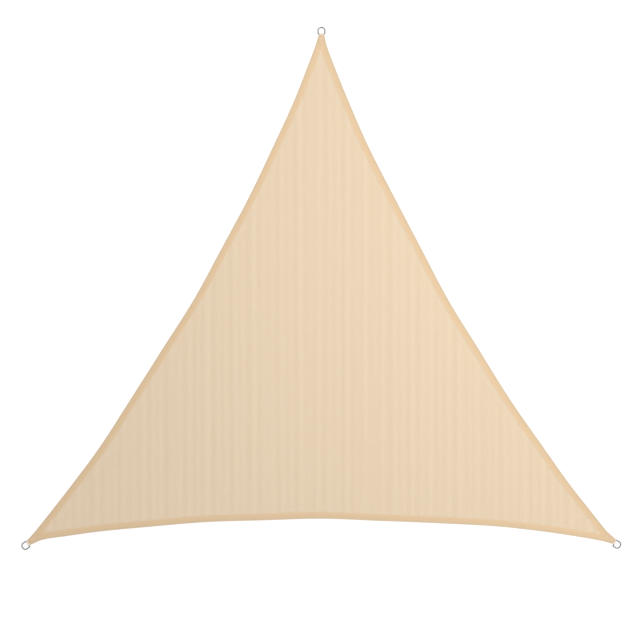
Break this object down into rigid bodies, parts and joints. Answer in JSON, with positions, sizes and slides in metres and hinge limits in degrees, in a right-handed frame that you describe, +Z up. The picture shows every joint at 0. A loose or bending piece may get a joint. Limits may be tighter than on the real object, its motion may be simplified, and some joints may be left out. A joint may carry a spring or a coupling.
{
  "type": "shade sail",
  "caption": "Triangular shade sail of knitted sand-coloured cloth with hollow hemmed edges, laid out flat, a webbing loop and a steel D-ring at each corner.",
  "frame": {"origin": "on the surface that the sail lies on, under the middle of its bounding box", "axes": "+X to the right along the foot edge, +Y towards the top corner, +Z up out of the cloth"},
  "size_m": [3.691, 3.2152, 0.0089],
  "materials": {
    "knitted_cloth": "matt knitted polyethylene, sand coloured",
    "pale_webbing": "matt woven webbing, cream",
    "bright_steel": "bright round stainless wire"
  },
  "bodies": {
    "root": {"sail_cloth": "knitted_cloth", "strap_top": "pale_webbing", "strap_left": "pale_webbing", "strap_right": "pale_webbing", "ring_top": "bright_steel", "ring_left": "bright_steel", "ring_right": "bright_steel"}
  },
  "joints": []
}
